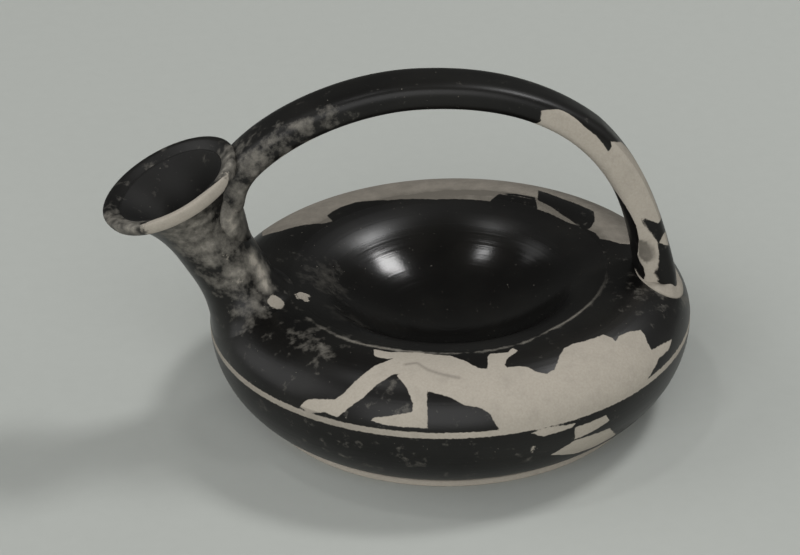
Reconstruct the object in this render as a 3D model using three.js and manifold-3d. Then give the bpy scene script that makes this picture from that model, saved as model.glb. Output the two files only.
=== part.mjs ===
// A small pouring vessel of thrown, black-gloss clay: a low round body whose top sinks into a bowl,
// a trumpet spout leaning out over one side and a strap handle arching back from it to the far shoulder.
// Millimetres, +Z up. The origin is the centre of the flat foot's underside, the spout leans toward -X
// and the handle lies in the XZ plane.
import * as THREE from 'three';
import { ParametricGeometry } from 'three/addons/geometries/ParametricGeometry.js';
import { mergeVertices } from 'three/addons/utils/BufferGeometryUtils.js';
import Module from 'manifold-3d';

const wasm = await Module();
wasm.setup();

// Joints between luted pieces
const GAP = 0.3;
const WALL = 3.2;

// How many flats stand for each round: the turned bodies, the stretches of the body's line, the flare,
// the pressed clay and the solids that the luted pieces are cut by
const TURN_STEPS = 48;
const STEPS = { outside: 9, inside: 7, slope: 5, bowl: 8, flare: 8, cutter: 12, path: 60, egg: 24, ring: 32 };

// Foot: a thin flat disc with softened edges
const FOOT = { radius: 37, thickness: 1.3, chamfer: 0.4 };

// Body of revolution: widest at the ground line, highest at the crest around the sunk centre
const GROUND = { radius: 46, height: 16.7 };
const CREST = { radius: 33.5, height: 25.7 };
const LOWER_WALL = { radius: 17.3, start: -59 };
const FLOOR_BOTTOM = 1.6;
const FLOOR_TOP = 4.8;
const FLOOR_SEAM_RADIUS = 36.4;
const INNER_SLOPE = { radius: 18.5, turn: 38 };
const CENTRE_SEAM_RADIUS = 30.2;

// Spout: a trumpet on a leaning axis, measured down that axis from the middle of the mouth. The mouth's
// plane is tipped back a little from square to the axis.
const MOUTH = { x: -52.45, z: 50.2, radius: 13.5, rim: 2.2, tip: 5.3 };
const SPOUT = { lean: 29, neckRadius: 6.8, boreRadius: 4.4, length: 38 };
const FLARE = { length: 17, power: 2.7, crowding: 1.3 };
const LIP = { depth: 3.5, soft: 0.5, band: 2.1, lap: 0.5, top: 1.5 };

// Collar: clay drawn from an oval on the shoulder up to a ring round the neck. Its middle, length and
// width lie on the body's face, and its pulls set how long it follows the shoulder and the neck.
const COLLAR = { middle: 10.6, halfLength: 10.4, halfWidth: 12.5, depth: 18, thickness: 0.7, rows: 8 };
const COLLAR_PULL = { outer: 0.7, inner: 0.25, neck: 3.5 };

// Handle: a strap of rounded rectangular section carried along two Bezier curves in the XZ plane, and
// set askew, so that its rear end stands a little nearer to -Y than the spout. It is wider and thicker
// underneath at its front root, and thicker on its outer side down its rear leg and again at the root
// there; these places are measured along it from its top.
const STRAP = { width: 10, thickness: 5.6, corner: 1.8, steps: 36 };
const FRONT_ROOT = { start: -35, end: -47, wider: 0.25, thicker: 1.1 };
const REAR_LEG = { start: 18, end: 34, thicker: 0.25 };
const REAR_ROOT = { start: 50, end: 66, thicker: 0.34 };
const HANDLE_TOP = { x: -5.7, z: 65.7 };
const HANDLE_FRONT = { x: -43.5, z: 42.7 };
const HANDLE_FRONT_PULL = { x: -41.7, z: 55.2 };
const HANDLE_FRONT_REACH = -22.3;
const HANDLE_REAR = { x: 37.7, z: 21.3 };
const HANDLE_REAR_PULL = { x: 36.2, z: 49.7 };
const HANDLE_REAR_REACH = 22.6;
const SKEW = { start: -39.5, slope: -0.103 };

// Clay pressed round the handle's two roots
const TONGUE = { along: 11.6, width: 6.4, length: 6, depth: 3.4 };
const REAR_PAD = { x: 38.2, z: 24.6, width: 14.4, thickness: 10.6, height: 7, above: 1, taper: 0.9, lean: 21 };

const GLOSS = { color: 0x1c1b19, roughness: 0.35, metalness: 0 };
const CLAY = { color: 0xb0a89b, roughness: 0.85, metalness: 0 };

const radians = THREE.MathUtils.degToRad;
const degrees = THREE.MathUtils.radToDeg;

// Points on an ellipse about (x, z) from one angle to another, in degrees from the outward direction
function arc(x, z, radiusX, radiusZ, from, to, steps) {
  const points = [];
  for (let i = 0; i <= steps; i += 1) {
    const angle = radians(from + ((to - from) * i) / steps);
    points.push(new THREE.Vector2(x + radiusX * Math.cos(angle), z + radiusZ * Math.sin(angle)));
  }
  return points;
}

const at = (x, z) => new THREE.Vector2(x, z);

// A geometry becomes a solid once its shared corners are merged and its collapsed triangles are left out
function toSolid(geometry) {
  const bare = geometry.clone();
  bare.deleteAttribute('normal');
  bare.deleteAttribute('uv');
  const merged = mergeVertices(bare, 1e-4);
  const corners = merged.index.array;
  const kept = [];
  for (let i = 0; i < corners.length; i += 3) {
    const [a, b, c] = [corners[i], corners[i + 1], corners[i + 2]];
    if (a !== b && b !== c && c !== a) kept.push(a, b, c);
  }
  const mesh = new wasm.Mesh({
    numProp: 3,
    vertProperties: new Float32Array(merged.attributes.position.array),
    triVerts: new Uint32Array(kept),
  });
  return new wasm.Manifold(mesh);
}

function toGeometry(solid) {
  const mesh = solid.getMesh();
  const geometry = new THREE.BufferGeometry();
  geometry.setAttribute('position', new THREE.BufferAttribute(new Float32Array(mesh.vertProperties), 3));
  geometry.setIndex(new THREE.BufferAttribute(new Uint32Array(mesh.triVerts), 1));
  geometry.computeVertexNormals();
  return geometry;
}

// The largest of the separate bodies that a cut leaves
function largest(solid) {
  return solid.decompose().reduce((best, next) => (next.volume() > best.volume() ? next : best));
}

// A profile turned about the vertical axis
function turned(profile) {
  return toSolid(new THREE.LatheGeometry(profile, TURN_STEPS).rotateX(Math.PI / 2));
}

// Carries a shape from an upright axis through the origin to the spout's axis, tipping it as the mouth is
const spoutFrame = new THREE.Matrix4()
  .makeTranslation(MOUTH.x, 0, MOUTH.z)
  .multiply(new THREE.Matrix4().makeRotationY(radians(-SPOUT.lean)))
  .multiply(new THREE.Matrix4().makeShear(0, -Math.tan(radians(MOUTH.tip)), 0, 0, 0, 0));

// A profile of (radius, distance below the mouth) turned about the spout's leaning axis
function turnedOnSpout(profile) {
  const points = profile.map(([radius, depth]) => at(radius, -depth));
  const geometry = new THREE.LatheGeometry(points, TURN_STEPS / 2);
  return toSolid(geometry.rotateX(Math.PI / 2).applyMatrix4(spoutFrame));
}

// Where the convex inner slope of the crest hands over to the round bowl of the sunk centre
const slopeCentre = at(CREST.radius, CREST.height - INNER_SLOPE.radius);
const slopeEnd = 90 + INNER_SLOPE.turn;
const slopeReach = at(INNER_SLOPE.radius, 0).rotateAround(at(0, 0), radians(slopeEnd));
const handover = slopeReach.add(slopeCentre);
const bowlRadius = handover.x / Math.sin(radians(INNER_SLOPE.turn));
const bowlCentreHeight = handover.y + bowlRadius * Math.cos(radians(INNER_SLOPE.turn));
const lowerCentreRadius = GROUND.radius - LOWER_WALL.radius;

// The angle at which a circle stands at a height above its own centre
const angleAt = (height, radius) => degrees(Math.asin(height / radius));

// The stretches of the body's surface, each as it lies at a depth below the outer face
function lowerWall(depth, from, steps) {
  const radius = LOWER_WALL.radius - depth;
  return arc(lowerCentreRadius, GROUND.height, radius, radius, from, angleAt(-GAP / 2, radius), steps);
}

function upperWall(depth, steps) {
  const radiusX = GROUND.radius - CREST.radius - depth;
  const radiusZ = CREST.height - GROUND.height - depth;
  return arc(CREST.radius, GROUND.height, radiusX, radiusZ, angleAt(GAP / 2, radiusZ), 90, steps);
}

function innerSlope(depth, from, to, steps) {
  const radius = INNER_SLOPE.radius - depth;
  return arc(slopeCentre.x, slopeCentre.y, radius, radius, from, to, steps);
}

// Where on the inner slope a distance from the vertical axis is reached
function slopeAngle(depth, distance) {
  return degrees(Math.acos((distance - slopeCentre.x) / (INNER_SLOPE.radius - depth)));
}

function bowl(depth, steps) {
  const radius = bowlRadius + depth;
  return arc(0, bowlCentreHeight, radius, radius, INNER_SLOPE.turn - 90, -90, steps);
}

// Foot and body
function footDisc() {
  const { radius, thickness, chamfer } = FOOT;
  return turned([
    at(0, 0),
    at(radius - chamfer, 0),
    at(radius, chamfer),
    at(radius, thickness - GAP),
    at(radius - chamfer, thickness),
    at(0, thickness),
  ]);
}

function lowerBowl() {
  const insideStart = angleAt(FLOOR_TOP - GROUND.height, LOWER_WALL.radius - WALL);
  return turned([
    at(0, FLOOR_BOTTOM),
    at(FLOOR_SEAM_RADIUS, FLOOR_BOTTOM),
    ...lowerWall(0, LOWER_WALL.start, STEPS.outside),
    ...lowerWall(WALL, insideStart, STEPS.inside).reverse(),
    at(0, FLOOR_TOP),
  ]);
}

// The shoulder's line at a depth, from the ground line over the crest to the sunk centre's seam
function shoulderLine(depth, steps) {
  const seam = slopeAngle(depth, CENTRE_SEAM_RADIUS + GAP / 2);
  return [...upperWall(depth, steps), innerSlope(depth, seam, seam, 1)[0]];
}

function shoulderRing() {
  const outside = shoulderLine(0, STEPS.outside);
  return turned([...outside, ...shoulderLine(WALL, STEPS.inside).reverse(), outside[0]]);
}

function sunkCentre() {
  const line = (depth) => {
    const seam = slopeAngle(depth, CENTRE_SEAM_RADIUS - GAP / 2);
    return [...innerSlope(depth, seam, slopeEnd, STEPS.slope), ...bowl(depth, STEPS.bowl).slice(1)];
  };
  return turned([...line(WALL).reverse(), ...line(0)]);
}

// The whole body without its hollow, grown by a clearance: what is luted on stands clear of it
function bodyBlock(clearance) {
  const shoulder = upperWall(-clearance, STEPS.cutter);
  const slope = innerSlope(-clearance, 90, slopeEnd, STEPS.slope).slice(1);
  const centre = bowl(-clearance, STEPS.bowl).slice(1);
  return turned([at(0, 0), at(shoulder[0].x, 0), ...shoulder, ...slope, ...centre]);
}

// Spout
function flare(neck, mouth, depth) {
  const rise = Math.max(0, (FLARE.length - depth) / FLARE.length);
  return neck + (mouth - neck) * rise ** FLARE.power;
}

const outerFlare = (depth) => flare(SPOUT.neckRadius, MOUTH.radius, depth);
const innerFlare = (depth) => flare(SPOUT.boreRadius, MOUTH.radius - MOUTH.rim, depth);

// Depths along the flare, closest together where it opens fastest
function flareDepths(from) {
  const depths = [];
  for (let i = 0; i <= STEPS.flare; i += 1) {
    depths.push(from + (FLARE.length - from) * (i / STEPS.flare) ** FLARE.crowding);
  }
  return depths;
}

function spoutBlock(clearance) {
  const underLip = LIP.band + LIP.lap + clearance;
  const outside = flareDepths(underLip).reverse().map((depth) => [outerFlare(depth) + clearance, depth]);
  return turnedOnSpout([
    [0, SPOUT.length],
    [SPOUT.neckRadius + clearance, SPOUT.length],
    ...outside,
    [MOUTH.radius + clearance, underLip],
    [MOUTH.radius + clearance, -clearance],
    [0, -clearance],
  ]);
}

// The lip's section: an outer band that hangs over the flare, a flat top and the turn into the funnel
function mouthLip() {
  const seam = LIP.depth - GAP / 2;
  const lap = LIP.band + LIP.lap;
  return turnedOnSpout([
    [outerFlare(seam), seam],
    [outerFlare(lap), lap],
    [MOUTH.radius - LIP.soft, LIP.band],
    [MOUTH.radius, LIP.band / 2],
    [MOUTH.radius, LIP.soft],
    [MOUTH.radius - LIP.soft, 0],
    [MOUTH.radius - LIP.top, 0],
    [innerFlare(LIP.soft), LIP.soft],
    [innerFlare(seam / 2), seam / 2],
    [innerFlare(seam), seam],
    [outerFlare(seam), seam],
  ]);
}

function spoutNeck() {
  const depths = flareDepths(LIP.depth + GAP / 2);
  const outside = [...depths].reverse().map((depth) => [outerFlare(depth), depth]);
  const inside = depths.map((depth) => [innerFlare(depth), depth]);
  const tube = turnedOnSpout([
    [SPOUT.boreRadius, SPOUT.length],
    [SPOUT.neckRadius, SPOUT.length],
    ...outside,
    ...inside,
    [SPOUT.boreRadius, SPOUT.length],
  ]);
  return largest(tube.subtract(bodyBlock(GAP)));
}

// The hole pierced through the shoulder, which carries the spout's bore on into the chamber
function piercedHole() {
  return turnedOnSpout([
    [0, SPOUT.length],
    [SPOUT.boreRadius, SPOUT.length],
    [SPOUT.boreRadius, FLARE.length],
    [0, FLARE.length],
  ]);
}

// The shoulder's face as a path that starts at the ground line
const shoulderPath = new THREE.Path([
  at(GROUND.radius, GROUND.height),
  ...upperWall(0, STEPS.path),
  ...innerSlope(0, 90, slopeEnd, STEPS.path / 2).slice(1),
]);
const shoulderAt = (length) => shoulderPath.getPoint(length / shoulderPath.getLength());
const collarTurnRadius = shoulderAt(COLLAR.middle).x;

// The collar's foot on the shoulder, at a share of its full size; angle 0 is the side away from the body
function collarFoot(angle, share) {
  const place = shoulderAt(COLLAR.middle - share * COLLAR.halfLength * Math.cos(angle));
  const turn = Math.PI - (share * COLLAR.halfWidth * Math.sin(angle)) / collarTurnRadius;
  return new THREE.Vector3(place.x * Math.cos(turn), place.x * Math.sin(turn), place.y);
}

function spoutPoint(radius, depth, angle) {
  const point = new THREE.Vector3(-radius * Math.cos(angle), radius * Math.sin(angle), -depth);
  return point.applyMatrix4(spoutFrame);
}

// A line up the collar's skin: it leaves the shoulder along its face and arrives along the neck
function collarLine(angle) {
  const radius = SPOUT.neckRadius + COLLAR.thickness;
  const foot = collarFoot(angle, 1);
  const size = Math.hypot(COLLAR.halfLength * Math.cos(angle), COLLAR.halfWidth * Math.sin(angle));
  const pull = THREE.MathUtils.lerp(COLLAR_PULL.inner, COLLAR_PULL.outer, (1 + Math.cos(angle)) / 2);
  const inward = collarFoot(angle, 0.98).sub(foot).setLength(pull * size);
  const below = spoutPoint(radius, COLLAR.depth + COLLAR_PULL.neck, angle);
  return new THREE.CubicBezierCurve3(foot, inward.add(foot), below, spoutPoint(radius, COLLAR.depth, angle));
}

// The collar is closed by points on the spout's axis, above and below its skin
function spoutCollar() {
  const stacks = COLLAR.rows + 2;
  const skin = new ParametricGeometry((u, v, target) => {
    const row = Math.round(v * stacks) - 1;
    if (row < 0) target.copy(spoutPoint(0, SPOUT.length, 0));
    else if (row > COLLAR.rows) target.copy(spoutPoint(0, COLLAR.depth, 0));
    else collarLine(-2 * Math.PI * u).getPoint(row / COLLAR.rows, target);
  }, TURN_STEPS / 2, stacks);
  return largest(toSolid(skin).subtract(bodyBlock(GAP)).subtract(spoutBlock(GAP)));
}

// Handle
const inPlane = ({ x, z }) => new THREE.Vector3(x, 0, z);
const aside = (x) => SKEW.slope * (x - SKEW.start);

function handleCurve() {
  const path = new THREE.CurvePath();
  path.add(new THREE.CubicBezierCurve3(
    inPlane(HANDLE_FRONT),
    inPlane(HANDLE_FRONT_PULL),
    inPlane({ x: HANDLE_FRONT_REACH, z: HANDLE_TOP.z }),
    inPlane(HANDLE_TOP),
  ));
  path.add(new THREE.CubicBezierCurve3(
    inPlane(HANDLE_TOP),
    inPlane({ x: HANDLE_REAR_REACH, z: HANDLE_TOP.z }),
    inPlane(HANDLE_REAR_PULL),
    inPlane(HANDLE_REAR),
  ));
  return path;
}

// The strap's section as points of width and height about its middle
function strapSection(clearance) {
  const { width, thickness, corner } = STRAP;
  const [x, y] = [width / 2 + clearance - corner, thickness / 2 + clearance - corner];
  return [[1, 1, 0], [-1, 1, 90], [-1, -1, 180], [1, -1, 270]].flatMap(([sideX, sideY, from]) => (
    arc(sideX * x, sideY * y, corner, corner, from, from + 90, 2)
  ));
}

// How far a place on the strap is into a stretch that swells: 0 where the stretch starts, 1 at its end
function swell({ start, end }, place) {
  return THREE.MathUtils.clamp((place - start) / (end - start), 0, 1) ** 2;
}

// A point of the section carried to a share of the strap's path, with its swelling and its slant
function strapPoint(path, share, point) {
  const place = share * path.getLength() - path.getCurveLengths()[0];
  const front = swell(FRONT_ROOT, place);
  const under = FRONT_ROOT.thicker * front;
  const over = REAR_LEG.thicker * swell(REAR_LEG, place) + REAR_ROOT.thicker * swell(REAR_ROOT, place);
  const wide = point.x * (1 + FRONT_ROOT.wider * front);
  const high = point.y * (1 + (point.y < 0 ? under : over));
  const along = path.getTangent(share);
  const centre = path.getPoint(share);
  const x = centre.x - along.z * high;
  return new THREE.Vector3(x, wide + aside(x), centre.z + along.x * high);
}

function strapBlock(clearance) {
  const path = handleCurve();
  const section = strapSection(clearance);
  const stacks = STRAP.steps + 2;
  const skin = new ParametricGeometry((u, v, target) => {
    const row = THREE.MathUtils.clamp(Math.round(v * stacks) - 1, 0, STRAP.steps);
    const closing = v === 0 || v === 1;
    const corner = closing ? at(0, 0) : section[Math.round(u * section.length) % section.length];
    target.copy(strapPoint(path, row / STRAP.steps, corner));
  }, section.length, stacks);
  return toSolid(skin);
}

function handleStrap() {
  return largest(strapBlock(0).subtract(bodyBlock(GAP)).subtract(spoutBlock(GAP)));
}

// An egg of clay lying against the back of the neck, under the strap where it comes in
function handleTongue() {
  const egg = new THREE.SphereGeometry(1, STEPS.egg, STEPS.egg / 2);
  egg.scale(TONGUE.depth, TONGUE.width, TONGUE.length);
  egg.translate(SPOUT.neckRadius, 0, -TONGUE.along).applyMatrix4(spoutFrame);
  return largest(toSolid(egg).subtract(strapBlock(GAP)).subtract(spoutBlock(GAP)));
}

// A low oval ring of clay pressed round the strap's foot on the far shoulder
function handleRearPad() {
  const ring = new THREE.CylinderGeometry(REAR_PAD.taper, 1, 1, STEPS.ring, 1).rotateX(Math.PI / 2);
  ring.scale(REAR_PAD.thickness / 2, REAR_PAD.width / 2, REAR_PAD.height);
  ring.translate(0, 0, REAR_PAD.above - REAR_PAD.height / 2);
  ring.rotateY(radians(REAR_PAD.lean));
  ring.translate(REAR_PAD.x, aside(REAR_PAD.x), REAR_PAD.z);
  return largest(toSolid(ring).subtract(bodyBlock(GAP)).subtract(strapBlock(GAP)));
}

const group = new THREE.Group();

function place(name, solid, finish) {
  const mesh = new THREE.Mesh(toGeometry(solid), new THREE.MeshStandardMaterial(finish));
  mesh.name = name;
  group.add(mesh);
}

place('foot_disc', footDisc(), CLAY);
place('lower_bowl', lowerBowl(), GLOSS);
place('shoulder_ring', shoulderRing().subtract(piercedHole()), GLOSS);
place('sunk_centre', sunkCentre(), GLOSS);
place('spout_neck', spoutNeck(), GLOSS);
place('mouth_lip', mouthLip(), GLOSS);
place('spout_collar', spoutCollar(), GLOSS);
place('handle_strap', handleStrap(), GLOSS);
place('handle_front_tongue', handleTongue(), GLOSS);
place('handle_rear_pad', handleRearPad(), CLAY);

export default group;
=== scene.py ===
"""A small black-gloss pouring vessel on a pale floor.

The body is one turned line carried round the vertical axis, the spout a trumpet on a leaning axis that
flows out of the shoulder, and the handle a rounded strap along two curves.
Lengths are in millimetres until a mesh is made. The spout leans toward -X and the camera looks along +Y.
"""
import math
import bpy
import numpy as np
from mathutils import Matrix, Vector


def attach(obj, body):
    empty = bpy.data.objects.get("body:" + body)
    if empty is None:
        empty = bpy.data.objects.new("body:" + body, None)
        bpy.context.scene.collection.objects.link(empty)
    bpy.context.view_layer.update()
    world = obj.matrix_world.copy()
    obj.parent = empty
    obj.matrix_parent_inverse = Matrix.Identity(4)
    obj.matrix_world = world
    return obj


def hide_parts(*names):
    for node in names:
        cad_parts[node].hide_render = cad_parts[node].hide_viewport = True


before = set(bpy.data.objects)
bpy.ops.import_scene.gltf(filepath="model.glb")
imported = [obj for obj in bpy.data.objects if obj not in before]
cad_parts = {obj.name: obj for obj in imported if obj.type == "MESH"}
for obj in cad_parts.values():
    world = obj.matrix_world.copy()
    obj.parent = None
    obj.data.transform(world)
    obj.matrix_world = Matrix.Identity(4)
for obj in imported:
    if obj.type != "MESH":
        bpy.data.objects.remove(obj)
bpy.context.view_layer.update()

MM = 0.001

# The turned body
GROUND_RADIUS, GROUND_HEIGHT = 46.0, 16.7
CREST_RADIUS, CREST_HEIGHT = 33.5, 25.7
LOWER_WALL_RADIUS = 17.3
LOWER_WALL_START = -61.0
INNER_SLOPE_RADIUS, INNER_SLOPE_TURN = 18.5, 38.0
CENTRE_SEAM_RADIUS = 30.2
WALL = 3.2
FLOOR_TOP = 4.8
FOOT_RADIUS, FOOT_THICKNESS, FOOT_EDGE = 37.0, 1.3, 0.35

# The spout, measured down its axis from the middle of the mouth; the mouth is tipped back from square to it
MOUTH_X, MOUTH_Z, MOUTH_RADIUS = -52.45, 50.2, 13.5
SPOUT_LEAN, MOUTH_TIP = 29.0, 5.3
NECK_RADIUS, BORE_RADIUS = 6.8, 4.4
FLARE_LENGTH, FLARE_POWER = 17.0, 2.7
RIM_WIDTH = 2.2
BORE_DEPTH = 31.0
# Where the spout's skin leaves the shoulder and where it reaches the neck, and how long it follows each
COLLAR_MIDDLE, COLLAR_LENGTH, COLLAR_WIDTH, COLLAR_DEPTH = 10.6, 10.4, 12.5, 18.0
OUTER_PULL, INNER_PULL, NECK_PULL = 0.7, 0.34, 3.5
# The share of the way out from the body's foot at which the skin starts, just under the shoulder's face
SKIN_START = 0.998

# The strap handle, which runs a little askew toward the near side
STRAP_WIDTH, STRAP_THICKNESS, STRAP_SQUARENESS = 10.0, 5.6, 3.4
HANDLE_TOP = (-5.7, 65.7)
HANDLE_FRONT, HANDLE_FRONT_PULL, HANDLE_FRONT_REACH = (-43.5, 42.7), (-41.7, 55.2), -22.3
HANDLE_REAR, HANDLE_REAR_PULL, HANDLE_REAR_REACH = (37.7, 21.6), (36.2, 49.7), 22.6
SKEW_START, SKEW_SLOPE = -39.5, -0.103
# Where it swells, as millimetres along it from its top, and by how much of its width or thickness
FRONT_ROOT, FRONT_WIDER, FRONT_THICKER = (-35, -47), 0.25, 1.1
REAR_LEG, LEG_THICKER = (18, 34), 0.25
REAR_ROOT, REAR_THICKER = (50, 66), 0.34
# The length over which its front end closes
NOSE = 6.0

# How finely the skins are drawn, and the marks that each of their points carries for the material
ROUND_COLUMNS = 720
SPOUT_COLUMNS = 240
STRAP_ROWS, STRAP_COLUMNS = 170, 120
PAD_ROWS, PAD_COLUMNS = 30, 120
MARKS = ("bare", "worn", "rub_and_sheen", "matte", "soil_and_shade", "traced", "ring")
# The length up the face that rows out of sight are given, well clear of every drawn line
OUT_OF_SIGHT = 40.0

# The view: the lens and tilt that give the photograph's outlines, in pixels and millimetres
IMAGE_WIDTH, IMAGE_HEIGHT = 800, 555
PIXELS_PER_MM = 5.2
TARGET = (0.0, 0.0, 15.0)
TARGET_PIXEL = (450.2, 317.0)
CAMERA_DISTANCE = 600.0
CAMERA_ELEVATION, CAMERA_TURN, CAMERA_ROLL = 29.7, 10.0, 1.1


# Lines and surfaces
def arc(x, z, radius_x, radius_z, start, end, count):
    """Points on an ellipse about (x, z) from one angle to another, in degrees from outward."""
    angle = np.radians(np.linspace(start, end, count))
    return np.stack([x + radius_x * np.cos(angle), z + radius_z * np.sin(angle)], 1)


def length_along(line):
    """The distance travelled along a line at each of its points."""
    return np.concatenate([[0.0], np.cumsum(np.linalg.norm(np.diff(line, axis=0), axis=1))])


def body_line(depth=0.0):
    """The body's face from the foot to the middle of the sunk centre, as radius and height: a round
    lower wall, a quarter ellipse up to the crest, a convex slope inward and a round bowl. Each
    stretch lies at the given depth below the outer face."""
    lower_centre = GROUND_RADIUS - LOWER_WALL_RADIUS
    slope_centre = CREST_HEIGHT - INNER_SLOPE_RADIUS
    turn = math.radians(INNER_SLOPE_TURN)
    bowl_radius = (CREST_RADIUS - INNER_SLOPE_RADIUS * math.sin(turn)) / math.sin(turn)
    bowl_centre = slope_centre + (INNER_SLOPE_RADIUS + bowl_radius) * math.cos(turn)
    lower_radius = LOWER_WALL_RADIUS - depth
    upper_x = GROUND_RADIUS - CREST_RADIUS - depth
    upper_z = CREST_HEIGHT - GROUND_HEIGHT - depth
    slope_radius = INNER_SLOPE_RADIUS - depth
    return [
        arc(lower_centre, GROUND_HEIGHT, lower_radius, lower_radius, LOWER_WALL_START, 0, 90),
        arc(CREST_RADIUS, GROUND_HEIGHT, upper_x, upper_z, 0, 90, 90),
        arc(CREST_RADIUS, slope_centre, slope_radius, slope_radius, 90, 90 + INNER_SLOPE_TURN, 60),
        arc(0, bowl_centre, bowl_radius + depth, bowl_radius + depth, INNER_SLOPE_TURN - 90, -90, 110),
    ]


def joined(stretches):
    """Stretches that share their end points, as one line."""
    return np.concatenate([stretches[0]] + [stretch[1:] for stretch in stretches[1:]])


FACE = joined(body_line())
FACE_LENGTH = length_along(FACE) - length_along(body_line()[0])[-1]
SEAM_LENGTH = float(np.interp(-CENTRE_SEAM_RADIUS, -FACE[:, 0], FACE_LENGTH))


def crowded(start, end, step):
    """Even steps between two values, with one more row close inside each end so that the shading
    turns sharply there."""
    values = np.linspace(start, end, max(3, int(round(abs(end - start) / step)) + 1))
    close = math.copysign(0.03, end - start)
    return np.concatenate([[start, start + close], values[1:-1], [end - close, end]])


def face_stretch(start, end, step):
    """Steps up the body's face between two lengths: the lengths, radii and heights."""
    lengths = crowded(start, end, step)
    return lengths, np.interp(lengths, FACE_LENGTH, FACE[:, 0]), np.interp(lengths, FACE_LENGTH, FACE[:, 1])


def on_body(lengths, azimuths):
    """Points on the body's face at a length along its line and an azimuth in radians."""
    radius = np.interp(lengths, FACE_LENGTH, FACE[:, 0])
    height = np.interp(lengths, FACE_LENGTH, FACE[:, 1])
    return np.stack([radius * np.cos(azimuths), radius * np.sin(azimuths), height + 0 * azimuths], -1)


def turned(radius, height, columns=ROUND_COLUMNS):
    """A profile carried round the vertical axis: a grid of profile points by azimuths."""
    azimuth = np.arange(columns) * (2 * np.pi / columns)
    ring = np.stack([np.cos(azimuth), np.sin(azimuth)], -1)
    points = np.empty((len(radius), columns, 3))
    points[..., :2] = radius[:, None, None] * ring
    points[..., 2] = height[:, None]
    return points, azimuth


def from_spout(radius, depth, angle):
    """Points at a radius, a depth below the mouth and an angle round the spout's leaning axis, where
    angle 0 is the side away from the body. Each ring is slid along the axis by its distance outward,
    so that it stands tipped as the mouth does."""
    lean = math.radians(SPOUT_LEAN)
    out = radius * np.cos(angle)
    along = depth - out * math.tan(math.radians(MOUTH_TIP))
    x = MOUTH_X - out * math.cos(lean) + along * math.sin(lean)
    z = MOUTH_Z - out * math.sin(lean) - along * math.cos(lean)
    return np.stack(np.broadcast_arrays(x, radius * np.sin(angle), z), -1)


def to_spout(points):
    """The radius, depth and angle of points: the inverse of from_spout."""
    lean = math.radians(SPOUT_LEAN)
    x, y, z = points[..., 0] - MOUTH_X, points[..., 1], points[..., 2] - MOUTH_Z
    out = -x * math.cos(lean) - z * math.sin(lean)
    depth = x * math.sin(lean) - z * math.cos(lean) + out * math.tan(math.radians(MOUTH_TIP))
    return np.hypot(out, y), depth, np.arctan2(y, out)


def flare(neck, mouth, depth):
    """The trumpet's radius: the neck's, opening with a power of the distance above the narrowest ring."""
    rise = np.clip((FLARE_LENGTH - depth) / FLARE_LENGTH, 0, None)
    return neck + (mouth - neck) * rise ** FLARE_POWER


def softened(loop, rounds):
    """A closed line with its corners cut to a quarter and three quarters of each side, some rounds over."""
    for _ in range(rounds):
        after = np.roll(loop, -1, axis=0)
        loop = np.stack([0.75 * loop + 0.25 * after, 0.25 * loop + 0.75 * after], 1).reshape(-1, 2)
    return loop


def bezier(points, parameter):
    """A cubic Bezier curve through arrays of four control points."""
    a, b, c, d = points
    t = parameter
    return (1 - t) ** 3 * a + 3 * (1 - t) ** 2 * t * b + 3 * (1 - t) * t ** 2 * c + t ** 3 * d


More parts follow.
